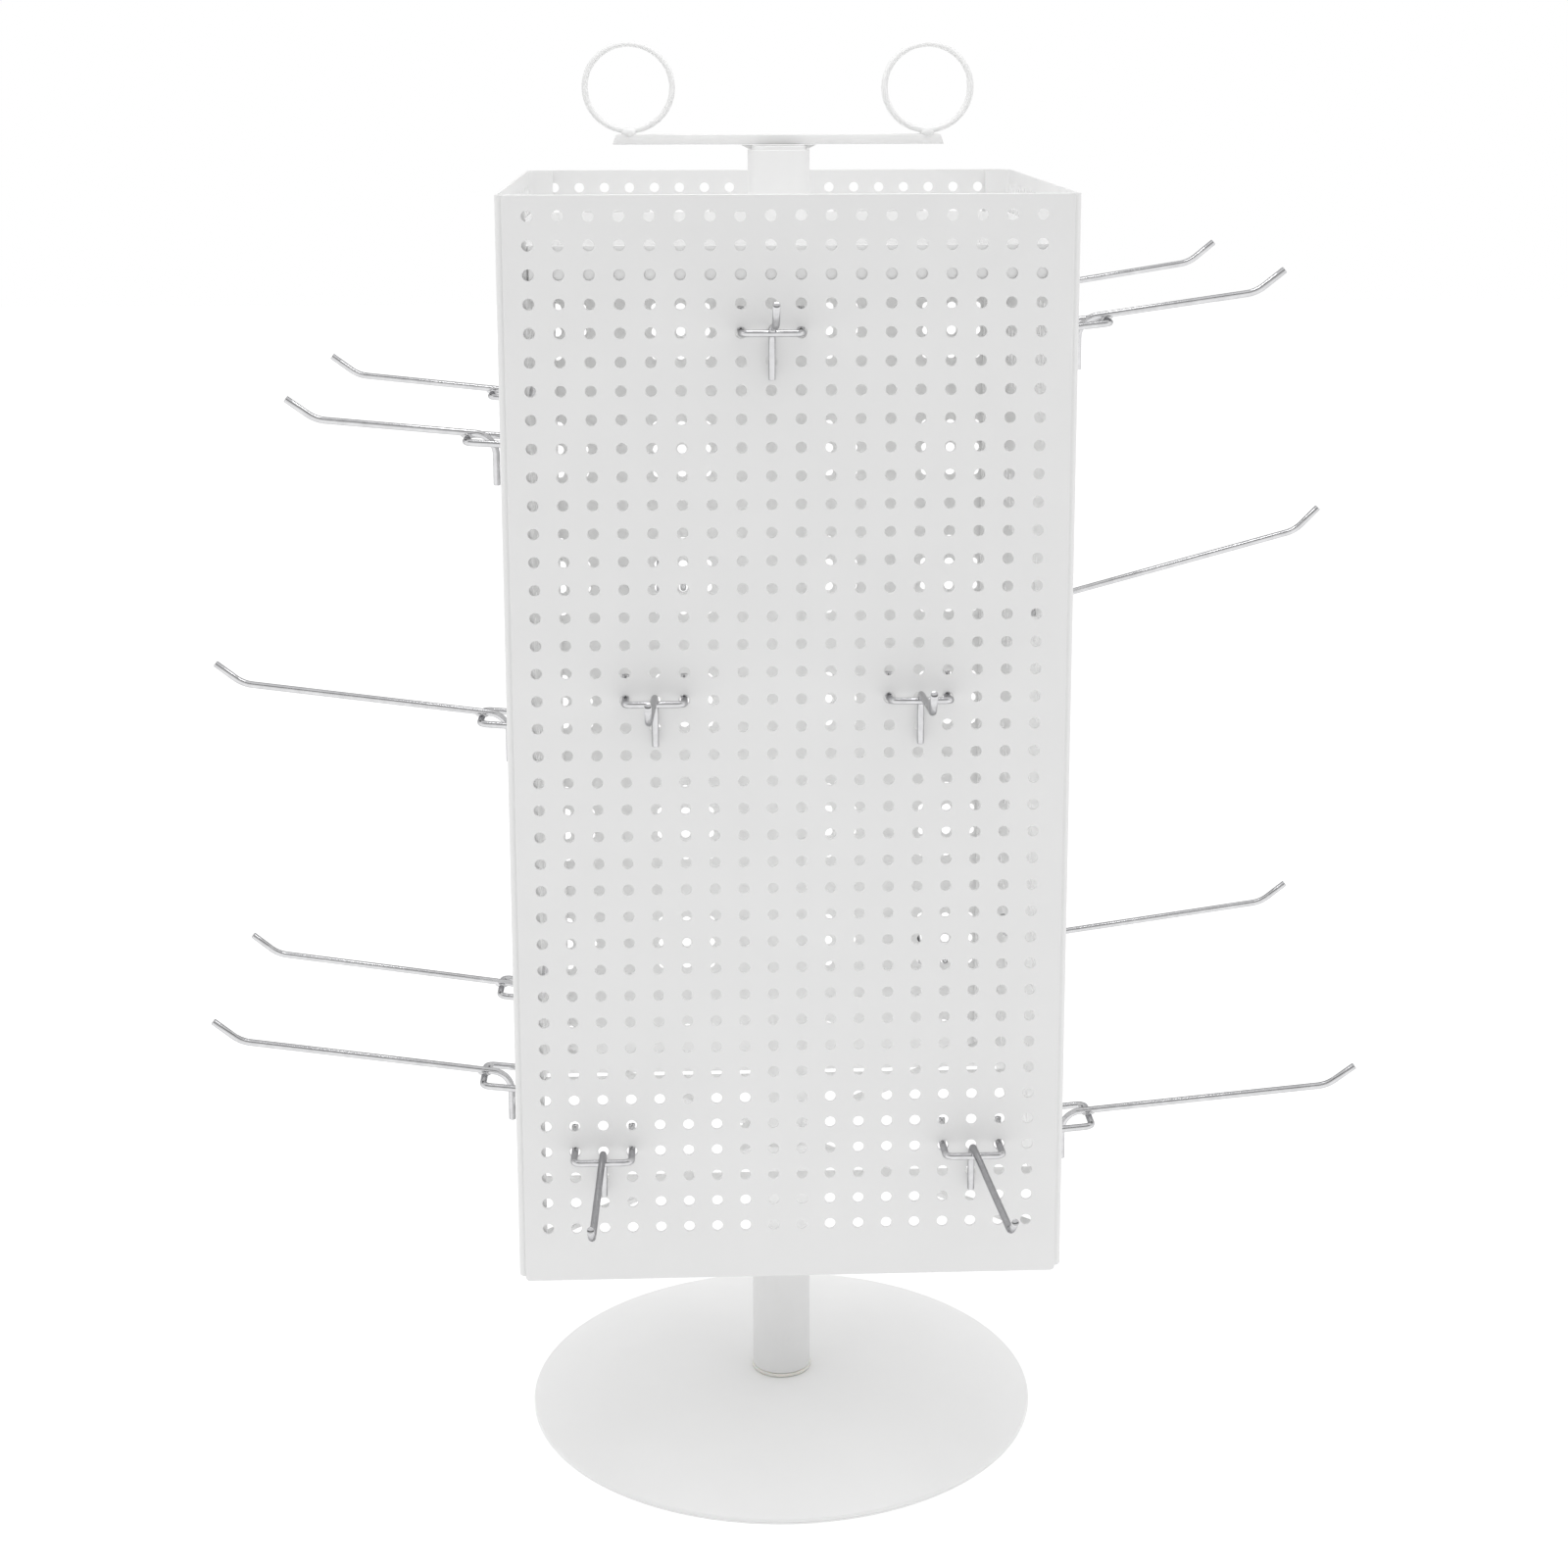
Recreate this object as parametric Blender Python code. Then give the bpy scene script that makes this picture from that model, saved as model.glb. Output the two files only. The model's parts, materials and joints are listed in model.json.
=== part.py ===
"""Rotating countertop pegboard display stand, in metres, +Z up.

The origin is on the counter, on the axis that the tower turns about. The front panel faces -Y.
The base carries a fixed pole. A sleeve turns over the pole and carries four perforated panels,
a sign holder and twenty wire hooks. Each hook hangs in two holes and tilts up about them.
The panels carry only the holes that hook prongs pass through.
"""

import math

import bmesh
import bpy
from mathutils import Matrix, Vector
from mathutils.geometry import tessellate_polygon

MM = 0.001
GAP = 0.3 * MM

# Base
BASE_RADIUS = 125.3 * MM
BASE_RIM_BOTTOM = 1.0 * MM
BASE_RIM_TOP = 3.5 * MM
BASE_TOP = 15.0 * MM
BASE_FLAT_RADIUS = 18.0 * MM
BASE_SHEET = 1.5 * MM
WEIGHT_RADIUS = 80.0 * MM
WEIGHT_BOTTOM = 2.6 * MM
WEIGHT_TOP = 8.6 * MM
RECESS_RADIUS = 12.0 * MM
RECESS_TOP = 5.6 * MM
FOOT_RADIUS = 9.0 * MM
FOOT_TOP = 2.3 * MM
FOOT_CIRCLE = 66.0 * MM
BOLT_HOLE_RADIUS = 5.4 * MM
BOLT_RADIUS = 5.0 * MM
BOLT_HEAD_RADIUS = 8.5 * MM
BOLT_HEAD_BOTTOM = 0.9 * MM
BOLT_HEAD_TOP = 3.8 * MM
BOLT_END = 44.0 * MM
WASHER_RADIUS = 11.0 * MM
WASHER_BOTTOM = 4.1 * MM
WASHER_TOP = 5.3 * MM

# Pole, bearings and sleeve
POLE_RADIUS = 11.1 * MM
POLE_BORE = 9.6 * MM
POLE_TOP = 596.0 * MM
POLE_NUT_RADIUS = POLE_BORE - GAP
POLE_NUT_TOP = 34.0 * MM
BUSH_FLANGE_RADIUS = 15.6 * MM
BUSH_FLANGE_TOP = 16.8 * MM
BUSH_BORE = POLE_RADIUS + GAP
BUSH_RADIUS = 12.6 * MM
BUSH_TOP = 37.0 * MM
SLEEVE_RADIUS = 14.3 * MM
SLEEVE_BORE = 12.9 * MM
SLEEVE_TOP = 624.3 * MM
BEARING_STEM_BOTTOM = 578.0 * MM
BEARING_HEAD_TOP = 599.5 * MM
BEARING_DOME_TOP = 601.0 * MM
THRUST_CAP_BOTTOM = BEARING_DOME_TOP + GAP
THRUST_CAP_TOP = 604.3 * MM

# Tower
TOWER_HALF = 123.0 * MM
SHEET = 1.0 * MM
PANEL_BOTTOM = 124.0 * MM
PANEL_TOP = 610.0 * MM
FACE_HALF_WIDTH = 120.0 * MM
SIDE_BOTTOM = 125.3 * MM
SIDE_FLANGE = 13.0 * MM
SIDE_BEND_RADIUS = 2.5 * MM
COLUMNS = 18
COLUMN_PITCH = 12.7 * MM
ROW_PITCH = 12.217 * MM
FIRST_ROW_Z = 601.2 * MM
FACE_GRID_SHIFT = -1.5 * MM
HOLE_RADIUS = 2.4 * MM
TOP_PLATE_TOP = 569.8 * MM
TOP_PLATE_SHEET = 1.2 * MM
TOP_PLATE_LIP = 19.0 * MM
TOP_PLATE_HALF = 121.7 * MM
TOP_PLATE_SIDE_HALF = 119.2 * MM
TOP_PLATE_FACE_HALF = 109.2 * MM
SPIDER_BOTTOM = 139.0 * MM
SPIDER_TOP = 141.5 * MM
SPIDER_HUB_RADIUS = 21.0 * MM
SPIDER_REACH = 116.0 * MM
SPIDER_ARM_HALF_WIDTH = 3.0 * MM
STRAP_Y = 61.5 * MM
STRAP_WIDTH = 18.0 * MM
STRAP_SHEET = 1.5 * MM
STRAP_LIP = 9.0 * MM

# Sign holder
SIGN_PLUG_RADIUS = 12.6 * MM
SIGN_PLUG_BORE = 11.2 * MM
SIGN_PLUG_BOTTOM = THRUST_CAP_TOP + GAP
SIGN_PLUG_TOP = 626.3 * MM
SIGN_BAR_BOTTOM = 626.6 * MM
SIGN_BAR_TOP = 631.2 * MM
SIGN_BAR_HALF_LENGTH = 76.5 * MM
SIGN_BAR_END_SLANT = 1.8 * MM
SIGN_BAR_DEPTH = 5.0 * MM
GUSSET_BOTTOM = 624.6 * MM
GUSSET_INNER = 12.0 * MM
GUSSET_LOW = 14.0 * MM
GUSSET_HIGH = 17.2 * MM
GUSSET_HALF_THICKNESS = 1.2 * MM
RING_WIRE_RADIUS = 1.35 * MM
RING_RADIUS_X = 20.1 * MM
RING_RADIUS_Z = 19.6 * MM
RING_SPACING = 68.8 * MM
RING_COIL_PITCH = 3.1 * MM
RING_TURNS = 1.86
RING_CENTRE_Z = SIGN_BAR_TOP + GAP + RING_WIRE_RADIUS + RING_RADIUS_Z
RING_STEPS_PER_TURN = 20
RING_END_LEFT = -60.0
RING_END_RIGHT = 60.0

# Hooks, in a frame with u outward from the panel face, v along the panel and w up
WIRE_RADIUS = 1.5 * MM
SHORT_REACH = 80.5 * MM
LONG_REACH = 124.5 * MM
CROSSBAR_OUT = 15.5 * MM
ARM_OVER_CROSSBAR = 2.2 * MM
TAIL_OUT = 3.3 * MM
TAIL_DROP = 19.7 * MM
TAIL_BEND_RADIUS = 9.5 * MM
LEG_UNDER_ARM = 2.2
TIP_OVER_ARM = 30.5
TIP_LENGTH = 15.4 * MM
TIP_BEND_RADIUS = 16.0 * MM
PRONG_IN = 5.0 * MM
PRONG_RISE = 11.0 * MM
PRONG_BEND_RADIUS = 3.5 * MM
HOOK_PIVOT_IN = SHEET / 2

# Name: face, column of the arm, row of the prongs, reach, the arm's slope above level and its turn
# anticlockwise seen from above, both in degrees
HOOKS = {
    "hook_front_top": ("front", 8, 4, SHORT_REACH, 6.5, -0.8),
    "hook_front_middle_left": ("front", 4, 17, LONG_REACH, 9.2, -0.5),
    "hook_front_middle_right": ("front", 13, 17, LONG_REACH, 10.5, -3.1),
    "hook_front_low_left": ("front", 2, 34, LONG_REACH, 7.2, -0.4),
    "hook_front_low_right": ("front", 15, 34, LONG_REACH, 7.1, 1.1),
    "hook_left_top_near": ("left", 1, 8, SHORT_REACH, 5.7, 0.6),
    "hook_left_top_far": ("left", 13, 8, SHORT_REACH, 6.4, -0.2),
    "hook_left_middle": ("left", 4, 19, LONG_REACH, 6.9, -3.4),
    "hook_left_low_near": ("left", 1, 32, LONG_REACH, 8.6, 0.6),
    "hook_left_low_far": ("left", 10, 32, LONG_REACH, 9.5, 1.9),
    "hook_right_top_near": ("right", 1, 4, SHORT_REACH, 8.4, -1.0),
    "hook_right_top_far": ("right", 13, 4, SHORT_REACH, 9.3, -0.8),
    "hook_right_middle": ("right", 9, 16, LONG_REACH, 16.1, -3.8),
    "hook_right_low_near": ("right", 1, 34, LONG_REACH, 7.1, -4.0),
    "hook_right_low_far": ("right", 12, 31, LONG_REACH, 8.4, -0.6),
    "hook_back_top": ("back", 8, 4, SHORT_REACH, 8.0, 0.0),
    "hook_back_middle_left": ("back", 4, 17, LONG_REACH, 8.0, 0.0),
    "hook_back_middle_right": ("back", 13, 17, LONG_REACH, 8.0, 0.0),
    "hook_back_low_left": ("back", 2, 34, LONG_REACH, 8.0, 0.0),
    "hook_back_low_right": ("back", 15, 34, LONG_REACH, 8.0, 0.0),
}

# Each face's outward direction, the direction in which its columns count up, and its grid's shift
FACES = {
    "front": (Vector((0, -1, 0)), Vector((1, 0, 0)), FACE_GRID_SHIFT),
    "back": (Vector((0, 1, 0)), Vector((1, 0, 0)), FACE_GRID_SHIFT),
    "left": (Vector((-1, 0, 0)), Vector((0, 1, 0)), 0.0),
    "right": (Vector((1, 0, 0)), Vector((0, 1, 0)), 0.0),
}

LATHE_STEPS = 32
BASE_STEPS = 48
HOLE_STEPS = 12
WIRE_SIDES = 6
DOME_STEPS = 5
WELD_DISTANCE = 1e-7


class Skin:
    """Collects faces by their corner points and makes one closed mesh from them."""

    def __init__(self):
        self.points = {}
        self.faces = []

    def index(self, point):
        key = tuple(round(value / WELD_DISTANCE) for value in point)
        return self.points.setdefault(key, (len(self.points), Vector(point)))[0]

    def face(self, points):
        self.faces.append([self.index(point) for point in points])

    def polygon(self, loops, place):
        """A flat face with holes: loops of 2-D points, the outline first, put in space by place."""
        flat = [[Vector((x, y, 0)) for x, y in loop] for loop in loops]
        corners = [point for loop in flat for point in loop]
        for triangle in tessellate_polygon(flat):
            self.face([place(corners[i].x, corners[i].y) for i in triangle])

    def band(self, loop, place_a, place_b):
        """The wall between one 2-D loop put in space in two places."""
        for (x0, y0), (x1, y1) in zip(loop, loop[1:] + loop[:1]):
            self.face([place_a(x0, y0), place_a(x1, y1), place_b(x1, y1), place_b(x0, y0)])

    def mesh(self, name):
        mesh = bpy.data.meshes.new(name)
        ordered = sorted(self.points.values(), key=lambda entry: entry[0])
        mesh.from_pydata([point for _, point in ordered], [], self.faces)
        shape = bmesh.new()
        shape.from_mesh(mesh)
        bmesh.ops.recalc_face_normals(shape, faces=shape.faces)
        shape.to_mesh(mesh)
        shape.free()
        return mesh


def circle(radius, steps, centre=(0.0, 0.0)):
    """Points of a circle, anticlockwise."""
    turns = [2 * math.pi * i / steps for i in range(steps)]
    return [(centre[0] + radius * math.cos(a), centre[1] + radius * math.sin(a)) for a in turns]


def lathe(name, profile, steps=LATHE_STEPS, centre=(0.0, 0.0)):
    """Turns a closed profile of (radius, height) points about a vertical axis."""
    skin = Skin()
    turns = [2 * math.pi * i / steps for i in range(steps)]

    def at(radius, height, turn):
        return (centre[0] + radius * math.cos(turn), centre[1] + radius * math.sin(turn), height)

    for (r0, z0), (r1, z1) in zip(profile, profile[1:] + profile[:1]):
        if r0 == 0 and r1 == 0:
            continue
        for a, b in zip(turns, turns[1:] + turns[:1]):
            corners = [at(r0, z0, a)]
            if r0 > 0:
                corners.append(at(r0, z0, b))
            corners.append(at(r1, z1, b))
            if r1 > 0:
                corners.append(at(r1, z1, a))
            skin.face(corners)
    return skin.mesh(name)


def prism(name, loops, place):
    """Extrudes a 2-D outline with holes. place(x, y, end) gives the point at end 0 or 1."""
    skin = Skin()
    for end in (0, 1):
        skin.polygon(loops, lambda x, y, end=end: place(x, y, end))
    for loop in loops:
        skin.band(loop, lambda x, y: place(x, y, 0), lambda x, y: place(x, y, 1))
    return skin.mesh(name)


def filleted(points, radii, steps):
    """A path through points with each inner corner rounded to its radius."""
    path = [points[0]]
    for before, corner, after, radius in zip(points, points[1:], points[2:], radii):
        inward = (before - corner).normalized()
        onward = (after - corner).normalized()
        half = inward.angle(onward) / 2
        reach = radius / math.tan(half)
        centre = corner + (inward + onward).normalized() * (radius / math.sin(half))
        start = (corner + inward * reach - centre).normalized()
        end = (corner + onward * reach - centre).normalized()
        for i in range(steps + 1):
            path.append(centre + start.slerp(end, i / steps) * radius)
    path.append(points[-1])
    return path


def wire(path, radius, sides, first_side):
    """A round wire along a path, with flat ends. first_side is across the path's start."""
    skin = Skin()
    rings = []
    side = first_side
    for i, point in enumerate(path):
        arriving = (point - path[i - 1]).normalized() if i else (path[1] - point).normalized()
        leaving = (path[i + 1] - point).normalized() if i + 1 < len(path) else arriving
        along = (arriving + leaving).normalized()
        side = (side - along * side.dot(along)).normalized()
        up = along.cross(side)
        turns = [2 * math.pi * (k + 0.5) / sides for k in range(sides)]
        rings.append([point + (side * math.cos(t) + up * math.sin(t)) * radius for t in turns])
    for lower, upper in zip(rings, rings[1:]):
        for k in range(sides):
            m = (k + 1) % sides
            skin.face([lower[k], lower[m], upper[m], upper[k]])
    skin.face(rings[0])
    skin.face(rings[-1])
    return skin


def material(name, colour, roughness, metallic):
    made = bpy.data.materials.new(name)
    made.use_nodes = True
    shader = made.node_tree.nodes["Principled BSDF"]
    shader.inputs["Base Color"].default_value = (*colour, 1.0)
    shader.inputs["Roughness"].default_value = roughness
    shader.inputs["Metallic"].default_value = metallic
    made.diffuse_color = (*colour, 1.0)
    return made


def add(name, mesh, finish, place=None):
    """Puts a mesh in the scene as a named object with its own material."""
    colour, roughness, metallic = finish
    mesh.name = name
    mesh.materials.clear()
    mesh.materials.append(material(name + "_finish", colour, roughness, metallic))
    thing = bpy.data.objects.new(name, mesh)
    bpy.context.scene.collection.objects.link(thing)
    if place:
        thing.matrix_world = place
    return thing


POWDER_WHITE = ((0.80, 0.80, 0.80), 0.42, 0.0)
BASE_WHITE = ((0.78, 0.78, 0.78), 0.35, 0.0)
CHROME = ((0.62, 0.62, 0.63), 0.22, 1.0)
ZINC = ((0.50, 0.50, 0.50), 0.45, 1.0)
RAW_STEEL = ((0.30, 0.30, 0.31), 0.55, 1.0)
NYLON = ((0.85, 0.84, 0.80), 0.5, 0.0)
RUBBER = ((0.03, 0.03, 0.03), 0.85, 0.0)


def column_offset(column, shift):
    return (column - (COLUMNS - 1) / 2) * COLUMN_PITCH + shift


def row_height(row):
    return FIRST_ROW_Z - row * ROW_PITCH


def prong_holes(face):
    """Outlines of the holes that the hooks on one face pass through, as (along the face, height)."""
    shift = FACES[face][2]
    loops = []
    for where, column, row, _, _, _ in HOOKS.values():
        if where == face:
            for side in (-1, 1):
                centre = (column_offset(column + side, shift), row_height(row))
                loops.append(circle(HOLE_RADIUS, HOLE_STEPS, centre))
    return loops


def base_parts():
    def dome(radius):
        share = (max(radius, BASE_FLAT_RADIUS) - BASE_FLAT_RADIUS) / (BASE_RADIUS - BASE_FLAT_RADIUS)
        return BASE_TOP - (BASE_TOP - BASE_RIM_TOP) * share ** 2

    span = BASE_RADIUS - BASE_FLAT_RADIUS
    radii = [BASE_FLAT_RADIUS + span * i / DOME_STEPS for i in range(DOME_STEPS + 1)]
    top = [(BOLT_HOLE_RADIUS, BASE_TOP)] + [(r, dome(r)) for r in radii]
    inner = [(r - BASE_SHEET * (r == BASE_RADIUS), dome(r) - BASE_SHEET) for r in reversed(radii)]
    rim = [(BASE_RADIUS, BASE_RIM_BOTTOM), (BASE_RADIUS - BASE_SHEET, BASE_RIM_BOTTOM)]
    shell = top + rim + inner + [(BOLT_HOLE_RADIUS, BASE_TOP - BASE_SHEET)]
    add("base_shell", lathe("base_shell", shell, BASE_STEPS), BASE_WHITE)

    weight = [
        (RECESS_RADIUS, WEIGHT_BOTTOM),
        (WEIGHT_RADIUS, WEIGHT_BOTTOM),
        (WEIGHT_RADIUS, WEIGHT_TOP),
        (BOLT_HOLE_RADIUS, WEIGHT_TOP),
        (BOLT_HOLE_RADIUS, RECESS_TOP),
        (RECESS_RADIUS, RECESS_TOP),
    ]
    add("base_weight", lathe("base_weight", weight), RAW_STEEL)

    for number, angle in enumerate((45, 135, 225, 315), 1):
        turn = math.radians(angle)
        centre = (FOOT_CIRCLE * math.cos(turn), FOOT_CIRCLE * math.sin(turn))
        foot = [(0, 0), (FOOT_RADIUS, 0), (FOOT_RADIUS, FOOT_TOP), (0, FOOT_TOP)]
        name = f"rubber_foot_{number}"
        add(name, lathe(name, foot, 16, centre), RUBBER)

    washer = [
        (BOLT_HOLE_RADIUS, WASHER_BOTTOM),
        (WASHER_RADIUS, WASHER_BOTTOM),
        (WASHER_RADIUS, WASHER_TOP),
        (BOLT_HOLE_RADIUS, WASHER_TOP),
    ]
    add("base_washer", lathe("base_washer", washer, 24), ZINC)
    bolt = [
        (0, BOLT_HEAD_BOTTOM),
        (BOLT_HEAD_RADIUS, BOLT_HEAD_BOTTOM),
        (BOLT_HEAD_RADIUS, BOLT_HEAD_TOP),
        (BOLT_RADIUS, BOLT_HEAD_TOP),
        (BOLT_RADIUS, BOLT_END),
        (0, BOLT_END),
    ]
    add("base_bolt", lathe("base_bolt", bolt, 24), ZINC)
    nut = [
        (BOLT_HOLE_RADIUS, BASE_TOP + GAP),
        (POLE_NUT_RADIUS, BASE_TOP + GAP),
        (POLE_NUT_RADIUS, POLE_NUT_TOP),
        (BOLT_HOLE_RADIUS, POLE_NUT_TOP),
    ]
    add("pole_nut", lathe("pole_nut", nut, 24), ZINC)
    add("pole", tube("pole", POLE_BORE, POLE_RADIUS, BASE_TOP + GAP, POLE_TOP), ZINC)
    bush = [
        (BUSH_BORE, BASE_TOP + GAP),
        (BUSH_FLANGE_RADIUS, BASE_TOP + GAP),
        (BUSH_FLANGE_RADIUS, BUSH_FLANGE_TOP),
        (BUSH_RADIUS, BUSH_FLANGE_TOP),
        (BUSH_RADIUS, BUSH_TOP),
        (BUSH_BORE, BUSH_TOP),
    ]
    add("lower_bush", lathe("lower_bush", bush), NYLON)
    bearing = [
        (0, BEARING_STEM_BOTTOM),
        (POLE_BORE - GAP, BEARING_STEM_BOTTOM),
        (POLE_BORE - GAP, POLE_TOP + GAP),
        (BUSH_RADIUS, POLE_TOP + GAP),
        (BUSH_RADIUS, BEARING_HEAD_TOP),
        (BUSH_RADIUS / 2, BEARING_DOME_TOP - GAP),
        (0, BEARING_DOME_TOP),
    ]
    add("top_bearing", lathe("top_bearing", bearing), NYLON)


def tube(name, bore, radius, bottom, top):
    return lathe(name, [(bore, bottom), (radius, bottom), (radius, top), (bore, top)])


def sleeve_parts():
    bottom = BUSH_FLANGE_TOP + GAP
    add("sleeve", tube("sleeve", SLEEVE_BORE, SLEEVE_RADIUS, bottom, SLEEVE_TOP), POWDER_WHITE)
    cap = [
        (0, THRUST_CAP_BOTTOM),
        (BUSH_RADIUS, THRUST_CAP_BOTTOM),
        (BUSH_RADIUS, THRUST_CAP_TOP),
        (0, THRUST_CAP_TOP),
    ]
    add("thrust_cap", lathe("thrust_cap", cap), ZINC)


def face_panel(name, face):
    """A flat sheet that lies over the side panels' flanges."""
    out, along, _ = FACES[face]
    outline = [
        (-FACE_HALF_WIDTH, PANEL_BOTTOM),
        (FACE_HALF_WIDTH, PANEL_BOTTOM),
        (FACE_HALF_WIDTH, PANEL_TOP),
        (-FACE_HALF_WIDTH, PANEL_TOP),
    ]

    def place(x, z, end):
        return out * (TOWER_HALF - SHEET * end) + along * x + Vector((0, 0, z))

    add(name, prism(name, [outline] + prong_holes(face), place), POWDER_WHITE)


def side_panel(name, face):
    """A sheet with a flange folded in along its front and rear edges."""
    out, along, _ = FACES[face]
    front = TOWER_HALF - SHEET - GAP
    web_end = front - SIDE_BEND_RADIUS
    bends = 2
    outer = []
    inner = []
    for side in (-1, 1):
        arc = [math.pi / 2 * i / bends for i in range(bends + 1)]
        outside = [
            (
                TOWER_HALF - SIDE_BEND_RADIUS * (1 - math.cos(a)),
                side * (web_end + SIDE_BEND_RADIUS * math.sin(a)),
            )
            for a in arc
        ]
        small = SIDE_BEND_RADIUS - SHEET
        inside = [
            (
                TOWER_HALF - SIDE_BEND_RADIUS + small * math.cos(a),
                side * (web_end + small * math.sin(a)),
            )
            for a in arc
        ]
        outside.append((TOWER_HALF - SIDE_FLANGE, side * front))
        inside.append((TOWER_HALF - SIDE_FLANGE, side * (front - SHEET)))
        outer = outside[::-1] + outer if side < 0 else outer + outside
        inner = inside[::-1] + inner if side < 0 else inner + inside

    def place(depth, x, z):
        return out * depth + along * x + Vector((0, 0, z))

    skin = Skin()
    section = outer + inner[::-1]
    for z in (SIDE_BOTTOM, PANEL_TOP):
        skin.polygon([section], lambda d, x, z=z: place(d, x, z))
    holes = prong_holes(face)
    for (d0, x0), (d1, x1) in zip(section, section[1:] + section[:1]):
        if d0 == d1 and abs(x1 - x0) > TOWER_HALF:
            left, right = min(x0, x1), max(x0, x1)
            outline = [(left, SIDE_BOTTOM), (right, SIDE_BOTTOM), (right, PANEL_TOP), (left, PANEL_TOP)]
            skin.polygon([outline] + holes, lambda x, z, d=d0: place(d, x, z))
        else:
            skin.face(
                [
                    place(d0, x0, SIDE_BOTTOM),
                    place(d1, x1, SIDE_BOTTOM),
                    place(d1, x1, PANEL_TOP),
                    place(d0, x0, PANEL_TOP),
                ]
            )
    for hole in holes:
        skin.band(
            hole,
            lambda x, z: place(TOWER_HALF, x, z),
            lambda x, z: place(TOWER_HALF - SHEET, x, z),
        )
    add(name, skin.mesh(name), POWDER_WHITE)


def notched_square(inset):
    """The tray's outline, its corners notched round the side panels' flanges."""
    half, side, face = (
        size - inset for size in (TOP_PLATE_HALF, TOP_PLATE_SIDE_HALF, TOP_PLATE_FACE_HALF)
    )
    quarter = [(half, -side), (half, side), (face, side), (face, half)]
    quarter += [(-face, half), (-face, side)]
    return quarter + [(-x, -y) for x, y in quarter]


def top_plate():
    """A tray with a turned-up lip and notched corners, with the sleeve through its middle."""
    floor = TOP_PLATE_TOP - TOP_PLATE_SHEET
    rim = TOP_PLATE_TOP + TOP_PLATE_LIP
    outside = notched_square(0.0)
    inside = notched_square(TOP_PLATE_SHEET)
    bore = circle(SLEEVE_RADIUS + GAP, LATHE_STEPS)
    skin = Skin()

    def level(z):
        return lambda x, y: (x, y, z)

    skin.polygon([outside, bore], level(floor))
    skin.polygon([inside, bore], level(TOP_PLATE_TOP))
    skin.polygon([outside, inside], level(rim))
    skin.band(outside, level(floor), level(rim))
    skin.band(inside, level(TOP_PLATE_TOP), level(rim))
    skin.band(bore, level(floor), level(TOP_PLATE_TOP))
    add("top_plate", skin.mesh("top_plate"), POWDER_WHITE)


def lower_spider():
    """Four diagonal arms from a hub around the sleeve to the tower's corners."""
    outline = []
    half_angle = math.asin(SPIDER_ARM_HALF_WIDTH / SPIDER_HUB_RADIUS)
    reach = SPIDER_REACH * math.sqrt(2)
    arc_steps = 4
    for arm in range(4):
        turn = math.pi / 4 + arm * math.pi / 2
        along = Vector((math.cos(turn), math.sin(turn)))
        across = Vector((-along.y, along.x))
        for side in (-1, 1):
            corner = along * reach + across * SPIDER_ARM_HALF_WIDTH * side
            outline.append((corner.x, corner.y))
        start = turn + half_angle
        sweep = math.pi / 2 - 2 * half_angle
        for i in range(arc_steps + 1):
            angle = start + sweep * i / arc_steps
            outline.append((SPIDER_HUB_RADIUS * math.cos(angle), SPIDER_HUB_RADIUS * math.sin(angle)))
    bore = circle(SLEEVE_RADIUS + GAP, LATHE_STEPS)

    def place(x, y, end):
        return (x, y, SPIDER_TOP if end else SPIDER_BOTTOM)

    add("lower_spider", prism("lower_spider", [outline, bore], place), POWDER_WHITE)


def cross_strap(name, centre_y):
    """A strap across the tower, with turned-up ends against the side panels."""
    bottom = SPIDER_TOP + GAP
    half = TOWER_HALF - SHEET - GAP
    section = [
        (-half, bottom),
        (half, bottom),
        (half, bottom + STRAP_LIP),
        (half - STRAP_SHEET, bottom + STRAP_LIP),
        (half - STRAP_SHEET, bottom + STRAP_SHEET),
        (-half + STRAP_SHEET, bottom + STRAP_SHEET),
        (-half + STRAP_SHEET, bottom + STRAP_LIP),
        (-half, bottom + STRAP_LIP),
    ]

    def place(x, z, end):
        return (x, centre_y + STRAP_WIDTH * (end - 0.5), z)

    add(name, prism(name, [section], place), POWDER_WHITE)


def sign_plug():
    """A tube with two gussets that reach out under the bar, as one body."""
    tube_mesh = tube("sign_plug", SIGN_PLUG_BORE, SIGN_PLUG_RADIUS, SIGN_PLUG_BOTTOM, SIGN_PLUG_TOP)
    plug = add("sign_plug", tube_mesh, POWDER_WHITE)
    for side in (-1, 1):
        outline = [
            (side * GUSSET_INNER, GUSSET_BOTTOM),
            (side * GUSSET_LOW, GUSSET_BOTTOM),
            (side * GUSSET_HIGH, SIGN_PLUG_TOP),
            (side * GUSSET_INNER, SIGN_PLUG_TOP),
        ]
        name = "gusset_left" if side < 0 else "gusset_right"

        def place(x, z, end):
            return (x, GUSSET_HALF_THICKNESS * (2 * end - 1), z)

        gusset = bpy.data.objects.new(name, prism(name, [outline], place))
        merge(plug, gusset)


def merge(thing, tool):
    """Joins tool's solid to thing's, and leaves one mesh in thing."""
    bpy.context.scene.collection.objects.link(tool)
    modifier = thing.modifiers.new("union", "BOOLEAN")
    modifier.operation = "UNION"
    modifier.solver = "EXACT"
    modifier.object = tool
    graph = bpy.context.evaluated_depsgraph_get()
    joined = bpy.data.meshes.new_from_object(thing.evaluated_get(graph))
    thing.modifiers.clear()
    old = thing.data
    joined.materials.clear()
    for slot in old.materials:
        joined.materials.append(slot)
    for face in joined.polygons:
        face.material_index = 0
    thing.data = joined
    bpy.data.meshes.remove(old)
    joined.name = thing.name
    bpy.data.objects.remove(tool)


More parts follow.
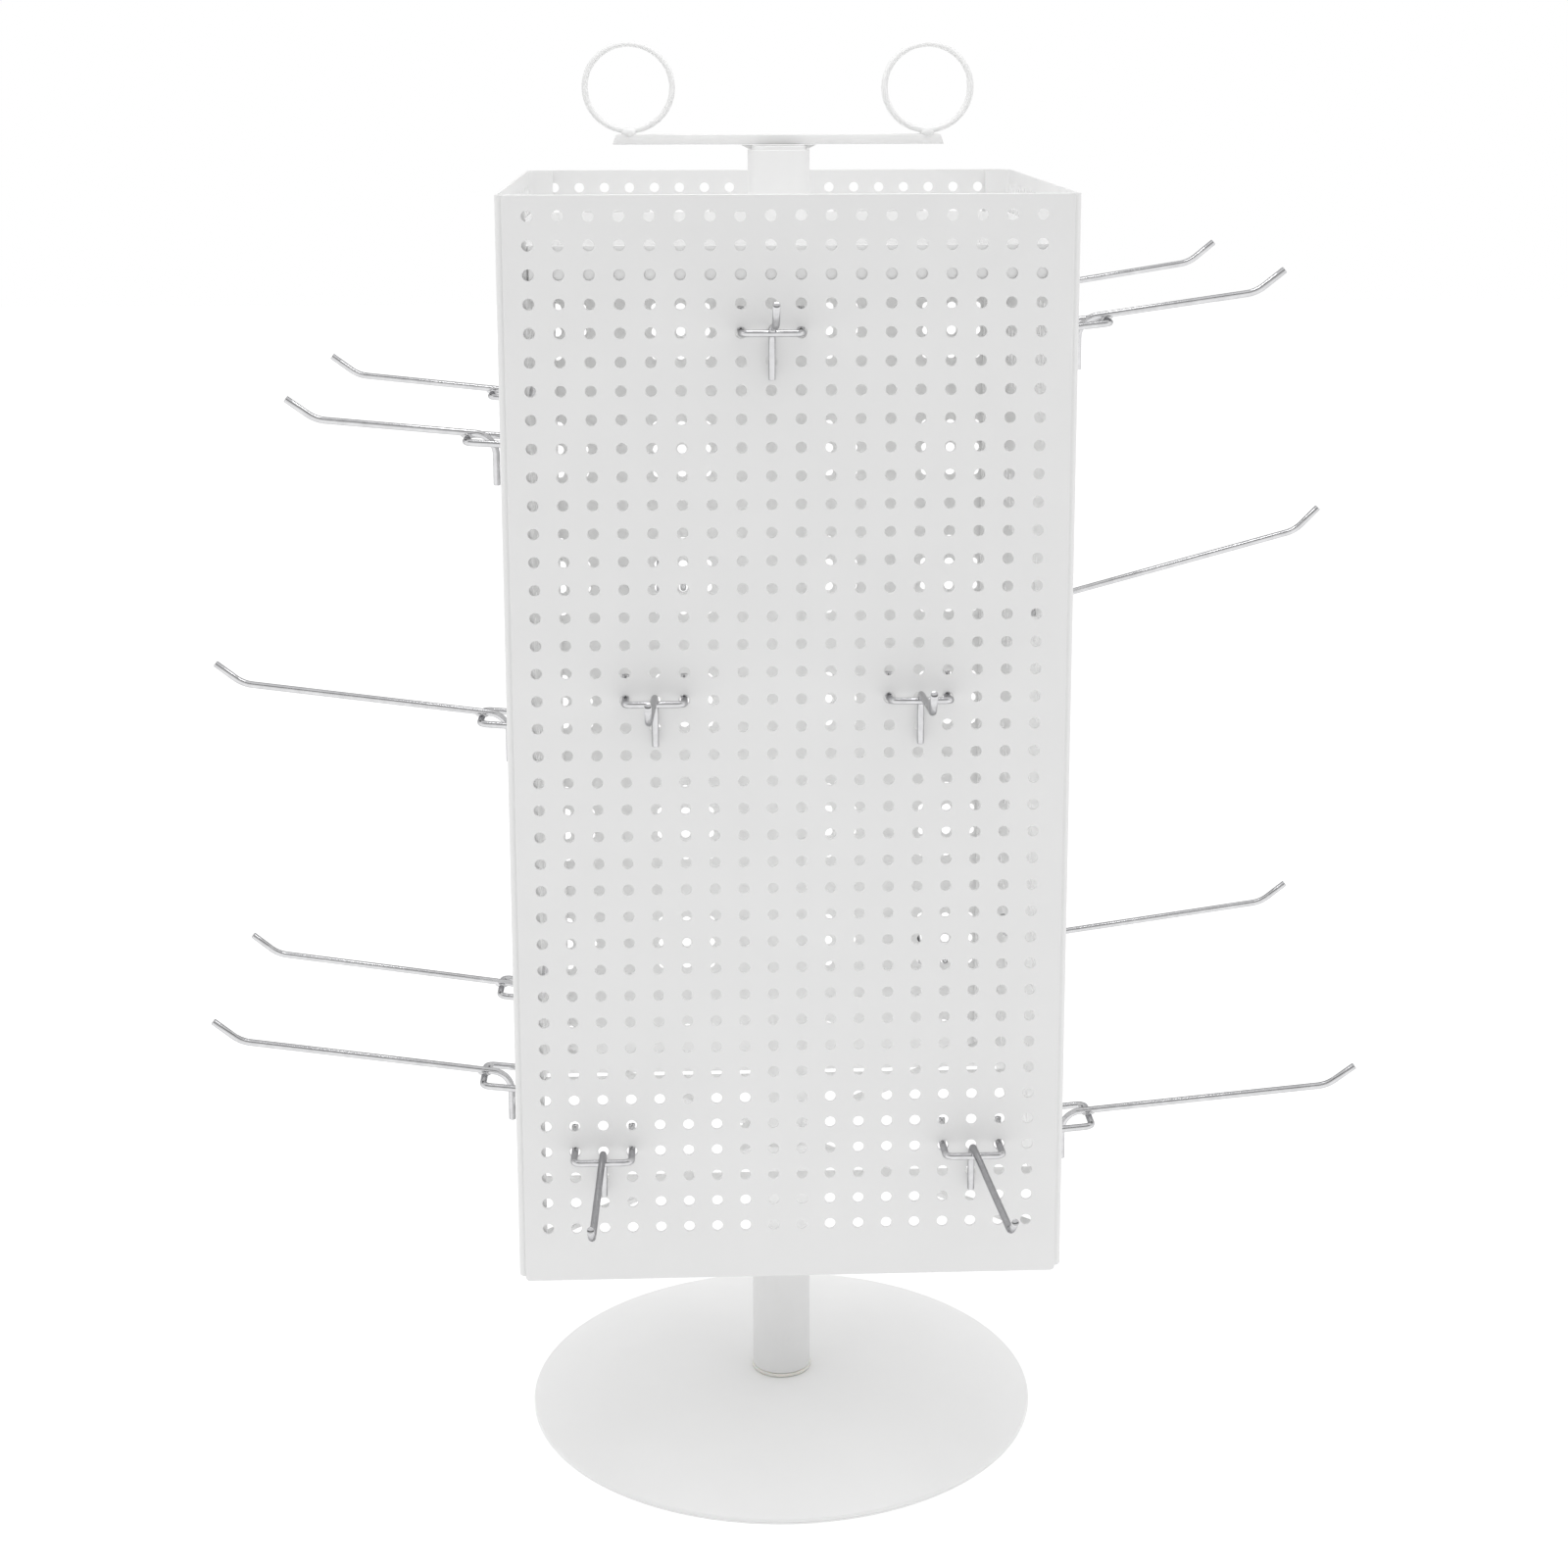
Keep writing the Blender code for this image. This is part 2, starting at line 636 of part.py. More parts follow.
def sign_parts():
    sign_plug()
    section = [
        (-SIGN_BAR_HALF_LENGTH, SIGN_BAR_BOTTOM),
        (SIGN_BAR_HALF_LENGTH, SIGN_BAR_BOTTOM),
        (SIGN_BAR_HALF_LENGTH - SIGN_BAR_END_SLANT, SIGN_BAR_TOP),
        (-SIGN_BAR_HALF_LENGTH + SIGN_BAR_END_SLANT, SIGN_BAR_TOP),
    ]

    def place(x, z, end):
        return (x, SIGN_BAR_DEPTH * (end - 0.5), z)

    add("sign_bar", prism("sign_bar", [section], place), POWDER_WHITE)
    sign_ring("sign_ring_left", -RING_SPACING, RING_END_LEFT)
    sign_ring("sign_ring_right", RING_SPACING, RING_END_RIGHT)


def sign_ring(name, centre_x, end_degrees):
    """A flat coil of nearly two turns that a card slides into, seen round from the front."""
    steps = round(RING_STEPS_PER_TURN * RING_TURNS)
    depth = RING_COIL_PITCH * RING_TURNS
    path = []
    for i in range(steps + 1):
        share = i / steps
        turn = math.radians(end_degrees) + 2 * math.pi * RING_TURNS * share
        path.append(
            Vector(
                (
                    centre_x + RING_RADIUS_X * math.cos(turn),
                    -depth / 2 + depth * share,
                    RING_CENTRE_Z + RING_RADIUS_Z * math.sin(turn),
                )
            )
        )
    skin = wire(path, RING_WIRE_RADIUS, WIRE_SIDES, Vector((0, 1, 0)))
    add(name, skin.mesh(name), POWDER_WHITE)


def hook_mesh(name, reach, slope, yaw):
    """An arm over a crossbar whose two legs end in upturned prongs, about the pivot line."""
    rise = math.tan(math.radians(slope))
    leg_turn = Matrix.Rotation(-math.radians(slope - LEG_UNDER_ARM), 3, "Y")
    crossbar = leg_turn @ Vector((CROSSBAR_OUT + HOOK_PIVOT_IN, 0, 0))
    over = ARM_OVER_CROSSBAR / math.cos(math.radians(slope))
    side_turn = math.radians(yaw)
    onward = Vector((math.cos(side_turn), math.sin(side_turn), 0))

    def on_arm(u):
        past = u + HOOK_PIVOT_IN - crossbar.x
        return crossbar + onward * past + Vector((0, 0, over + past * rise))

    bend = on_arm(reach)
    tip_turn = math.radians(slope + TIP_OVER_ARM)
    tip = bend + (onward * math.cos(tip_turn) + Vector((0, 0, math.sin(tip_turn)))) * TIP_LENGTH
    heel = on_arm(TAIL_OUT)
    tail = Vector((heel.x, heel.y, -TAIL_DROP))
    arm_path = filleted([tail, heel, bend, tip], [TAIL_BEND_RADIUS, TIP_BEND_RADIUS], 3)
    arm = bpy.data.objects.new(
        name, wire(arm_path, WIRE_RADIUS, WIRE_SIDES, Vector((0, 1, 0))).mesh(name)
    )
    bpy.context.scene.collection.objects.link(arm)

    half = COLUMN_PITCH
    outer = CROSSBAR_OUT + HOOK_PIVOT_IN
    inner = HOOK_PIVOT_IN - PRONG_IN
    bracket_points = [
        Vector((inner, half, PRONG_RISE)),
        Vector((inner, half, 0)),
        Vector((outer, half, 0)),
        Vector((outer, -half, 0)),
        Vector((inner, -half, 0)),
        Vector((inner, -half, PRONG_RISE)),
    ]
    bracket_path = filleted([leg_turn @ p for p in bracket_points], [PRONG_BEND_RADIUS] * 4, 2)
    bracket_skin = wire(bracket_path, WIRE_RADIUS, WIRE_SIDES, Vector((0, 1, 0)))
    merge(arm, bpy.data.objects.new(name + "_bracket", bracket_skin.mesh(name + "_bracket")))
    mesh = arm.data
    bpy.data.objects.remove(arm)
    return mesh


def hooks():
    for name, (face, column, row, reach, slope, yaw) in HOOKS.items():
        out, along, shift = FACES[face]
        spot = out * (TOWER_HALF - HOOK_PIVOT_IN) + along * column_offset(column, shift)
        spot.z = row_height(row)
        turn = math.atan2(out.y, out.x)
        place = Matrix.Translation(spot) @ Matrix.Rotation(turn, 4, "Z")
        add(name, hook_mesh(name, reach, slope, yaw), CHROME, place)


def main():
    for thing in list(bpy.data.objects):
        bpy.data.objects.remove(thing)
    base_parts()
    sleeve_parts()
    face_panel("front_panel", "front")
    face_panel("back_panel", "back")
    side_panel("left_panel", "left")
    side_panel("right_panel", "right")
    top_plate()
    lower_spider()
    cross_strap("cross_strap_front", -STRAP_Y)
    cross_strap("cross_strap_rear", STRAP_Y)
    sign_parts()
    hooks()


main()
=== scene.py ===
"""Looks of the pegboard display stand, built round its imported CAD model, in metres, +Z up.

Each CAD node is stood for by a finer piece of the same size: sheets with every hole punched, round
plated wire with its welds, turned tubes and a pressed base. Materials are procedural.
"""

import json
import math

import bmesh
import bpy
from mathutils import Matrix, Vector


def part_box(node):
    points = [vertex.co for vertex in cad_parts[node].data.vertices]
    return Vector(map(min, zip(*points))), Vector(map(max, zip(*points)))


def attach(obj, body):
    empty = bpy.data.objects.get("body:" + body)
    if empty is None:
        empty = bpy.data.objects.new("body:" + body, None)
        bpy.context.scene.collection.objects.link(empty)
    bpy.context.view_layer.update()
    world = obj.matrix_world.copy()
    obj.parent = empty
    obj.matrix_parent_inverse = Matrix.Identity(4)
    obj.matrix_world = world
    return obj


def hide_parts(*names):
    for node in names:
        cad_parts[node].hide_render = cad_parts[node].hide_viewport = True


MM = 0.001

# Camera
CAMERA_PLACE = (-0.0455, -1.2141, 0.6648)
CAMERA_TURN = (78.495, 0.056, -2.572)
CAMERA_LENS = 59.59
CAMERA_SHIFT = (-0.0089, -0.125)

# Sheet metal
SHEET = 1.0 * MM
SHEET_EDGE = 0.25 * MM
SHEET_CORNER = 2.0 * MM
HOLE_RADIUS = 2.4 * MM
HOLE_EDGE = 0.22 * MM
HOLE_STEPS = 24
COLUMNS = 18
ROWS = 38
COLUMN_PITCH = 12.7 * MM
ROW_PITCH = 12.217 * MM
FIRST_ROW_UNDER_TOP = 8.8 * MM
FACE_GRID_SHIFT = -1.5 * MM
SIDE_FLANGE = 13.0 * MM
SIDE_BEND_RADIUS = 3.0 * MM
SIDE_FLANGE_BACK = 0.8 * MM
BEND_STEPS = 6

# Wire hooks, in a frame at the pivot with x outward, y along the panel and z up
WIRE_RADIUS = 1.5 * MM
WIRE_SIDES = 20
WIRE_END = 0.2 * MM
CROSSBAR_OUT = 16.0 * MM
ARM_OVER_CROSSBAR = 2.45 * MM
CAD_ARM_OVER_CROSSBAR = 2.2 * MM
TAIL_OUT = 3.8 * MM
TAIL_DROP = 19.7 * MM
TAIL_BEND_RADIUS = 9.5 * MM
LEG_UNDER_ARM = 2.2
TIP_OVER_ARM = 30.5
USUAL_TIP_SLOPE = 40.0
TIP_LENGTH = 15.4 * MM
TIP_BEND_RADIUS = 16.0 * MM
PRONG_IN = 4.5 * MM
PRONG_RISE = 11.0 * MM
PRONG_BEND_RADIUS = 3.5 * MM
HALF_CROSSBAR = 12.7 * MM
WELD_SIZE = (3.1 * MM, 1.9 * MM, 1.35 * MM)

# Sign holder
RING_WIRE_RADIUS = 1.35 * MM
RING_COIL_PITCH = 3.1 * MM
RING_TURNS = 1.86
RING_STEPS_PER_TURN = 72
RING_ENDS = {"sign_ring_left": -60.0, "sign_ring_right": 60.0}
RING_WELD_SIZE = (3.4 * MM, 1.9 * MM, 2.2 * MM)
GUSSET_HALF_THICKNESS = 1.2 * MM
GUSSET_INNER = 12.0 * MM
GUSSET_LOW = 14.0 * MM
GUSSET_BOTTOM_UNDER_TOP = 1.7 * MM

# Tubes and base
TUBE_STEPS = 96
SLEEVE_WALL = 1.4 * MM
POLE_WALL = 1.5 * MM
PLUG_SLIT = 0.3 * MM
BASE_STEPS = 160
BASE_FLAT_RADIUS = 18.0 * MM
BASE_RIM_TOP = 3.5 * MM
BASE_SHEET = 1.5 * MM
BASE_DOME_STEPS = 28
RIM_ROLL = 1.2 * MM
RIM_ROLL_STEPS = 6
HEM_GROOVE = 0.45 * MM

# Pieces in and under the base, and the bearings
WEIGHT_RECESS_RADIUS = 12.0 * MM
WEIGHT_RECESS = 3.0 * MM
FOOT_STEPS = 48
FOOT_DIMPLE_SHARE = 0.35
FOOT_DIMPLE = 0.4 * MM
FOOT_EASE = 0.5 * MM
BOLT_HOLE_RADIUS = 5.4 * MM
BOLT_RADIUS = 5.0 * MM
BOLT_HEAD = 2.9 * MM
BOLT_SOCKET_RADIUS = 3.4 * MM
BOLT_SOCKET = 1.4 * MM
BUSH_BORE = 11.4 * MM
BUSH_RADIUS = 12.6 * MM
BUSH_FLANGE = 1.5 * MM
FLANGE_PAST_SLEEVE = 0.4 * MM
BEARING_STEM_RADIUS = 9.3 * MM
BEARING_STEM = 18.3 * MM
BEARING_DOME = 1.5 * MM

# Meshes and surfaces
POINT_STEP = 1e-7
FLAT_ANGLE = math.radians(1)
SHARP_ANGLE = math.radians(40)
NOISE_LOW = 0.3
NOISE_HIGH = 0.7
ORANGE_PEEL = 0.018 * MM
WIRE_PEEL = 0.001 * MM

# Light: each band of the room is the height of a direction and a grey
DIFFUSE_BOUNCES = 12
FLOOR_REACH = 6.0
FLOOR_GREY = 0.5
FLOOR_GLOW = 0.62
SKY_AT_HORIZON = 0.46
SKY_OVERHEAD = 1.75
SKY_AT_FRONT = 0.80
SKY_AT_REAR = 1.10
ROOM_BELOW = (0.85, 0.85, 0.85, 1)
ROOM_ABOVE = (0.80, 0.80, 0.81, 1)
ROOM_BANDS = ((0.42, 0.80), (0.50, 0.12), (0.66, 0.08), (0.76, 0.75))
SOFTBOX_OUT = 1.4
SOFTBOX_DEPTH = -0.2
SOFTBOX_HEIGHT = 1.2
SOFTBOX_AIM = (0, 0, 0.25)
LEFT_SOFTBOX = 1.3
RIGHT_SOFTBOX = 1.5
INNER_GLOW = 0.036
UNDER_GLOW = 0.02
TOP_GLOW = 0.34

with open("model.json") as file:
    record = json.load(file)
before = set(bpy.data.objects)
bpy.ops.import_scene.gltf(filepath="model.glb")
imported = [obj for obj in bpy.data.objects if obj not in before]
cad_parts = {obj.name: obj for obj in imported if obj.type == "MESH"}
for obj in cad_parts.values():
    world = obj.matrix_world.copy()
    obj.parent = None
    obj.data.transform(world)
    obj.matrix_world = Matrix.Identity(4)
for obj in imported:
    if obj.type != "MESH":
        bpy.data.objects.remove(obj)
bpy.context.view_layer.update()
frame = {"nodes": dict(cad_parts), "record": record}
record = frame["record"]
BODY_OF = {n: body for body, nodes in record["behaviour"]["bodies"].items() for n in nodes}
SLOT_OF = {part["node"]: part["material_slot"] for part in record["subparts"]}
finishes = {}


class Skin:
    """Collects faces by their corner points and makes one closed mesh from them."""

    def __init__(self):
        self.points = {}
        self.faces = []

    def index(self, point):
        key = tuple(round(value / POINT_STEP) for value in point)
        return self.points.setdefault(key, (len(self.points), tuple(point)))[0]

    def face(self, points):
        self.faces.append([self.index(point) for point in points])

    def between(self, one, other):
        """The wall between two loops of points that match one to one."""
        for i in range(len(one)):
            j = (i + 1) % len(one)
            self.face([one[i], one[j], other[j], other[i]])

    def mesh(self, name):
        mesh = bpy.data.meshes.new(name)
        mesh.from_pydata([point for _, point in self.points.values()], [], self.faces)
        shape = bmesh.new()
        shape.from_mesh(mesh)
        bmesh.ops.recalc_face_normals(shape, faces=shape.faces)
        shape.to_mesh(mesh)
        shape.free()
        return mesh


# ---------------------------------------------------------------- materials


def new_finish(slot):
    """A slot's material, its shader, and what adds noise, colour, bumps and gloss to it."""
    made = bpy.data.materials.new(slot)
    made.use_nodes = True
    nodes, links = made.node_tree.nodes, made.node_tree.links
    shader = nodes["Principled BSDF"]
    where = nodes.new("ShaderNodeTexCoord").outputs["Object"]

    def noise(scale, detail):
        texture = nodes.new("ShaderNodeTexNoise")
        texture.inputs["Scale"].default_value = scale
        texture.inputs["Detail"].default_value = detail
        links.new(where, texture.inputs["Vector"])
        return texture.outputs["Fac"]

    def spread(value, low, high):
        """Takes a noise value to the range low to high."""
        ramp = nodes.new("ShaderNodeMapRange")
        ramp.inputs["From Min"].default_value = NOISE_LOW
        ramp.inputs["From Max"].default_value = NOISE_HIGH
        ramp.inputs["To Min"].default_value = low
        ramp.inputs["To Max"].default_value = high
        links.new(value, ramp.inputs["Value"])
        return ramp.outputs["Result"]

    def tint(value, dark, light):
        """Takes a noise value to a colour between two."""
        ramp = nodes.new("ShaderNodeValToRGB")
        ramp.color_ramp.elements[0].position = NOISE_LOW
        ramp.color_ramp.elements[0].color = (*dark, 1.0)
        ramp.color_ramp.elements[1].position = NOISE_HIGH
        ramp.color_ramp.elements[1].color = (*light, 1.0)
        links.new(value, ramp.inputs["Fac"])
        links.new(ramp.outputs["Color"], shader.inputs["Base Color"])

    def bumps(*layers):
        """Stacks noise heights, each with its depth in metres."""
        below = None
        for value, depth in layers:
            bump = nodes.new("ShaderNodeBump")
            bump.inputs["Strength"].default_value = 1.0
            bump.inputs["Distance"].default_value = depth
            links.new(value, bump.inputs["Height"])
            if below:
                links.new(below, bump.inputs["Normal"])
            below = bump.outputs["Normal"]
        links.new(below, shader.inputs["Normal"])

    def roughness(value, low, high):
        links.new(spread(value, low, high), shader.inputs["Roughness"])

    return made, shader, noise, tint, bumps, roughness


def powder_coat(slot, dark, light, rough_low, rough_high, peel):
    """Baked powder paint: even colour, fine orange peel and small changes in gloss."""
    made, shader, noise, tint, bumps, roughness = new_finish(slot)
    tint(noise(38.0, 4.0), dark, light)
    roughness(noise(160.0, 3.0), rough_low, rough_high)
    bumps((noise(620.0, 2.0), peel), (noise(1400.0, 1.0), peel / 3))
    shader.inputs["Specular IOR Level"].default_value = 0.45
    return made


def chrome_wire(slot):
    """Bright plated wire, with the faint drawn lines of the wire under the plating."""
    made, shader, noise, tint, bumps, roughness = new_finish(slot)
    tint(noise(260.0, 4.0), (0.61, 0.61, 0.62), (0.71, 0.71, 0.72))
    roughness(noise(900.0, 3.0), 0.10, 0.19)
    bumps((noise(700.0, 2.0), 0.012 * MM))
    shader.inputs["Specular Tint"].default_value = (0.45, 0.45, 0.46, 1.0)
    shader.inputs["Metallic"].default_value = 1.0
    return made


def zinc_plate(slot):
    """Passivated zinc: soft grey metal with a cloudy, faintly crystalline gloss."""
    made, shader, noise, tint, bumps, roughness = new_finish(slot)
    tint(noise(220.0, 6.0), (0.44, 0.44, 0.43), (0.58, 0.58, 0.57))
    roughness(noise(480.0, 5.0), 0.30, 0.50)
    bumps((noise(1500.0, 3.0), 0.01 * MM))
    shader.inputs["Metallic"].default_value = 1.0
    return made


def bare_steel(slot):
    """Cut steel plate under a film of oil, with mill scale in patches."""
    made, shader, noise, tint, bumps, roughness = new_finish(slot)
    tint(noise(70.0, 8.0), (0.20, 0.20, 0.21), (0.36, 0.36, 0.37))
    roughness(noise(190.0, 6.0), 0.42, 0.66)
    bumps((noise(850.0, 5.0), 0.03 * MM))
    shader.inputs["Metallic"].default_value = 1.0
    return made


def nylon(slot):
    """Natural moulded nylon, slightly waxy."""
    made, shader, noise, tint, bumps, roughness = new_finish(slot)
    tint(noise(120.0, 3.0), (0.80, 0.79, 0.74), (0.87, 0.86, 0.82))
    roughness(noise(700.0, 3.0), 0.42, 0.56)
    bumps((noise(1800.0, 2.0), 0.015 * MM))
    shader.inputs["Subsurface Weight"].default_value = 0.15
    shader.inputs["Subsurface Scale"].default_value = 0.002
    return made


def foot_rubber(slot):
    """Matt black rubber with a fine moulded grain."""
    made, shader, noise, tint, bumps, roughness = new_finish(slot)
    tint(noise(300.0, 4.0), (0.02, 0.02, 0.02), (0.045, 0.045, 0.045))
    roughness(noise(900.0, 3.0), 0.75, 0.92)
    bumps((noise(2400.0, 3.0), 0.04 * MM))
    return made


def make_finishes():
    white, grey = (0.85, 0.85, 0.848), (0.835, 0.835, 0.833)
    satin, gloss = (0.38, 0.48), (0.28, 0.38)
    for name, peel in (("powder_coat_white", ORANGE_PEEL), ("wire_coat", WIRE_PEEL)):
        finishes[name] = powder_coat(name, grey, white, *satin, peel)
    white, grey = (0.905, 0.905, 0.903), (0.895, 0.895, 0.893)
    name = "base_coat_white"
    finishes[name] = powder_coat(name, grey, white, *gloss, ORANGE_PEEL)
    for make in (chrome_wire, zinc_plate, bare_steel, nylon, foot_rubber):
        finishes[make.__name__] = make(make.__name__)


# ---------------------------------------------------------------- shapes


def stand_for(node, mesh, sharp=35.0, finish=None):
    """Makes the piece that stands for a CAD node, riding on its body and in its finish."""
    mesh.shade_smooth()
    mesh.set_sharp_from_angle(angle=math.radians(sharp))
    mesh.materials.clear()
    mesh.materials.append(finishes[finish or SLOT_OF[node]])
    piece = bpy.data.objects.new(node + "_finished", mesh)
    bpy.context.scene.collection.objects.link(piece)
    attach(piece, BODY_OF[node])
    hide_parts(node)
    return piece


def union(name, meshes):
    """One closed mesh from several overlapping ones."""
    things = [bpy.data.objects.new(name, mesh) for mesh in meshes]
    for thing in things:
        bpy.context.scene.collection.objects.link(thing)
    for tool in things[1:]:
        modifier = things[0].modifiers.new("union", "BOOLEAN")
        modifier.operation = "UNION"
        modifier.solver = "EXACT"
        modifier.object = tool
    graph = bpy.context.evaluated_depsgraph_get()
    joined = bpy.data.meshes.new_from_object(things[0].evaluated_get(graph))
    for thing in things:
        bpy.data.objects.remove(thing)
    for mesh in meshes:
        bpy.data.meshes.remove(mesh)
    joined.name = name
    return joined


def eased(profile, radius):
    """A closed profile with each convex or concave corner cut by a short arc of three points."""
    eased_profile = []
    count = len(profile)
    for i, (x, y) in enumerate(profile):
        here = Vector((x, y))
        before = Vector(profile[i - 1]) - here
        after = Vector(profile[(i + 1) % count]) - here
        if x == 0 or min(before.length, after.length) == 0:
            eased_profile.append((x, y))
            continue
        turn = abs(math.pi - before.angle(after))
        if turn < math.radians(25):
            eased_profile.append((x, y))
            continue
        reach = min(radius, before.length / 2.2, after.length / 2.2)
        start = here + before.normalized() * reach
        end = here + after.normalized() * reach
        middle = here.lerp((start + end) / 2, 0.6)
        eased_profile += [tuple(start), tuple(middle), tuple(end)]
    return eased_profile


def lathe(name, profile, steps=TUBE_STEPS, centre=(0.0, 0.0), ease=0.25 * MM):
    """Turns a closed profile of (radius, height) points about a vertical axis."""
    skin = Skin()
    profile = eased(profile, ease)
    angles = [2 * math.pi * i / steps for i in range(steps)]
    turns = [(math.cos(angle), math.sin(angle)) for angle in angles]

    def at(point, turn):
        return (centre[0] + point[0] * turn[0], centre[1] + point[0] * turn[1], point[1])

    for one, other in zip(profile, profile[1:] + profile[:1]):
        if one[0] == 0 and other[0] == 0:
            continue
        for a, b in zip(turns, turns[1:] + turns[:1]):
            corners = [at(one, a)]
            if one[0] > 0:
                corners.append(at(one, b))
            corners.append(at(other, b))
            if other[0] > 0:
                corners.append(at(other, a))
            skin.face(corners)
    return skin.mesh(name)


def filleted(points, radii, steps):
    """A path through points with each inner corner rounded to its radius."""
    path = [points[0]]
    for before, corner, after, radius in zip(points, points[1:], points[2:], radii):
        inward = (before - corner).normalized()
        onward = (after - corner).normalized()
        half = inward.angle(onward) / 2
        reach = radius / math.tan(half)
        centre = corner + (inward + onward).normalized() * (radius / math.sin(half))
        start = (corner + inward * reach - centre).normalized()
        end = (corner + onward * reach - centre).normalized()
        for i in range(steps + 1):
            path.append(centre + start.slerp(end, i / steps) * radius)
    path.append(points[-1])
    return path


def wire(name, path, radius, first_side):
    """A round wire along a path, with sheared flat ends whose rims are eased."""
    skin = Skin()
    path = [path[0], path[0].lerp(path[1], WIRE_END / (path[1] - path[0]).length), *path[1:-1],
            path[-1].lerp(path[-2], WIRE_END / (path[-2] - path[-1]).length), path[-1]]
    rings = []
    side = first_side
    for i, point in enumerate(path):
        arriving = (point - path[i - 1]).normalized() if i else (path[1] - point).normalized()
        leaving = (path[i + 1] - point).normalized() if i + 1 < len(path) else arriving
        along = (arriving + leaving).normalized()
        side = (side - along * side.dot(along)).normalized()
        up = along.cross(side)
        at_end = i in (0, len(path) - 1)
        size = radius - WIRE_END if at_end else radius
        turns = [2 * math.pi * k / WIRE_SIDES for k in range(WIRE_SIDES)]
        rings.append([point + (side * math.cos(t) + up * math.sin(t)) * size for t in turns])
    for lower, upper in zip(rings, rings[1:]):
        skin.between(lower, upper)
    skin.face(rings[0])
    skin.face(rings[-1])
    return skin.mesh(name)


def bead(name, centre, size, turn):
    """A squashed ball of weld metal with an uneven surface."""
    shape = bmesh.new()
    bmesh.ops.create_icosphere(shape, subdivisions=3, radius=1.0)
    for point in shape.verts:
        wave = 1 + 0.06 * math.sin(5 * point.co.x + 3 * point.co.y) * math.cos(4 * point.co.z)
        scaled = Vector((point.co.x * size[0], point.co.y * size[1], point.co.z * size[2])) * wave
        point.co = centre + turn @ scaled
    mesh = bpy.data.meshes.new(name)
    shape.to_mesh(mesh)
    shape.free()
    return mesh


def softened(node, width, segments=2):
    """A CAD node's own solid with its sharp edges eased."""
    mesh = frame["nodes"][node].data.copy()
    shape = bmesh.new()
    shape.from_mesh(mesh)
    bmesh.ops.remove_doubles(shape, verts=shape.verts, dist=POINT_STEP)
    bmesh.ops.dissolve_limit(
        shape, angle_limit=FLAT_ANGLE, verts=shape.verts, edges=shape.edges
    )
    joined = [edge for edge in shape.edges if len(edge.link_faces) == 2]
    bmesh.ops.bevel(
        shape,
        geom=[edge for edge in joined if edge.calc_face_angle() > SHARP_ANGLE],
        offset=width,
        segments=segments,
        profile=0.5,
        affect="EDGES",
        clamp_overlap=True,
    )
    shape.to_mesh(mesh)
    shape.free()
    return stand_for(node, mesh)


# ---------------------------------------------------------------- perforated panels


def cell_lines(centres, half):
    """Lines across a run of cells, each cut into as many parts as a quarter of a hole has."""
    parts = HOLE_STEPS // 4
    lines = [centres[0] - half]
    for centre in centres:
        lines += [centre - half + 2 * half * (i + 1) / parts for i in range(parts)]
    return lines


def perforated(name, place, left, right, low, high, shift):
    """A punched sheet, bent by place(s, z, depth), with plain margins on its four sides."""
    skin = Skin()
    half_x, half_z = COLUMN_PITCH / 2, ROW_PITCH / 2
    first_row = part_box("front_panel")[1].z - FIRST_ROW_UNDER_TOP
    columns = [(i - (COLUMNS - 1) / 2) * COLUMN_PITCH + shift for i in range(COLUMNS)]
    rows = [first_row - i * ROW_PITCH for i in reversed(range(ROWS))]
    across = left + cell_lines(columns, half_x) + right
    up = low + cell_lines(rows, half_z) + high
    cells_x = range(len(left), len(across) - len(right) - 1)
    cells_z = range(len(low), len(up) - len(high) - 1)

    def corner(i, j, depth):
        if i in (0, len(across) - 1) or j in (0, len(up) - 1):
            depth = SHEET_EDGE if depth == 0 else SHEET - SHEET_EDGE
        return place(across[i], up[j], depth)

    for depth in (0, SHEET):
        for i in range(len(across) - 1):
            for j in range(len(up) - 1):
                if i in cells_x and j in cells_z:
                    continue
                around = ((i, j), (i + 1, j), (i + 1, j + 1), (i, j + 1))
                skin.face([corner(a, b, depth) for a, b in around])
    last_i, last_j = len(across) - 1, len(up) - 1
    rim = [(i, 0) for i in range(last_i)] + [(last_i, j) for j in range(last_j)]
    rim += [(i, last_j) for i in range(last_i, 0, -1)] + [(0, j) for j in range(last_j, 0, -1)]
    skin.between([corner(i, j, 0) for i, j in rim], [corner(i, j, SHEET) for i, j in rim])

    parts = HOLE_STEPS // 4
    square = [(1, -1 + 2 * i / parts) for i in range(parts)]
    square += [(-y, x) for x, y in square]
    square += [(-x, -y) for x, y in square]
    turns = [2 * math.pi * (i / HOLE_STEPS - 1 / 8) for i in range(HOLE_STEPS)]
    ring = [(math.cos(t), math.sin(t)) for t in turns]
    mouth_radius = HOLE_RADIUS + HOLE_EDGE
    for x in columns:
        for z in rows:
            outline = [(x + a * half_x, z + b * half_z) for a, b in square]
            mouth = [(x + a * mouth_radius, z + b * mouth_radius) for a, b in ring]
            hole = [(x + a * HOLE_RADIUS, z + b * HOLE_RADIUS) for a, b in ring]
            loops = [(outline, 0), (mouth, 0), (hole, HOLE_EDGE), (hole, SHEET), (outline, SHEET)]
            placed = [[place(s, h, depth) for s, h in loop] for loop, depth in loops]
            for one, other in zip(placed, placed[1:]):
                skin.between(one, other)
    return skin.mesh(name)


def heights(node):
    """The plain margins under and over the rows of holes in a panel."""
    bottom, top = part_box(node)[0].z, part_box(node)[1].z
    low = [bottom, bottom + SHEET_EDGE, bottom + SHEET_CORNER / 2, bottom + SHEET_CORNER]
    return low, [top - SHEET_CORNER, top - SHEET_CORNER / 2, top - SHEET_EDGE, top]


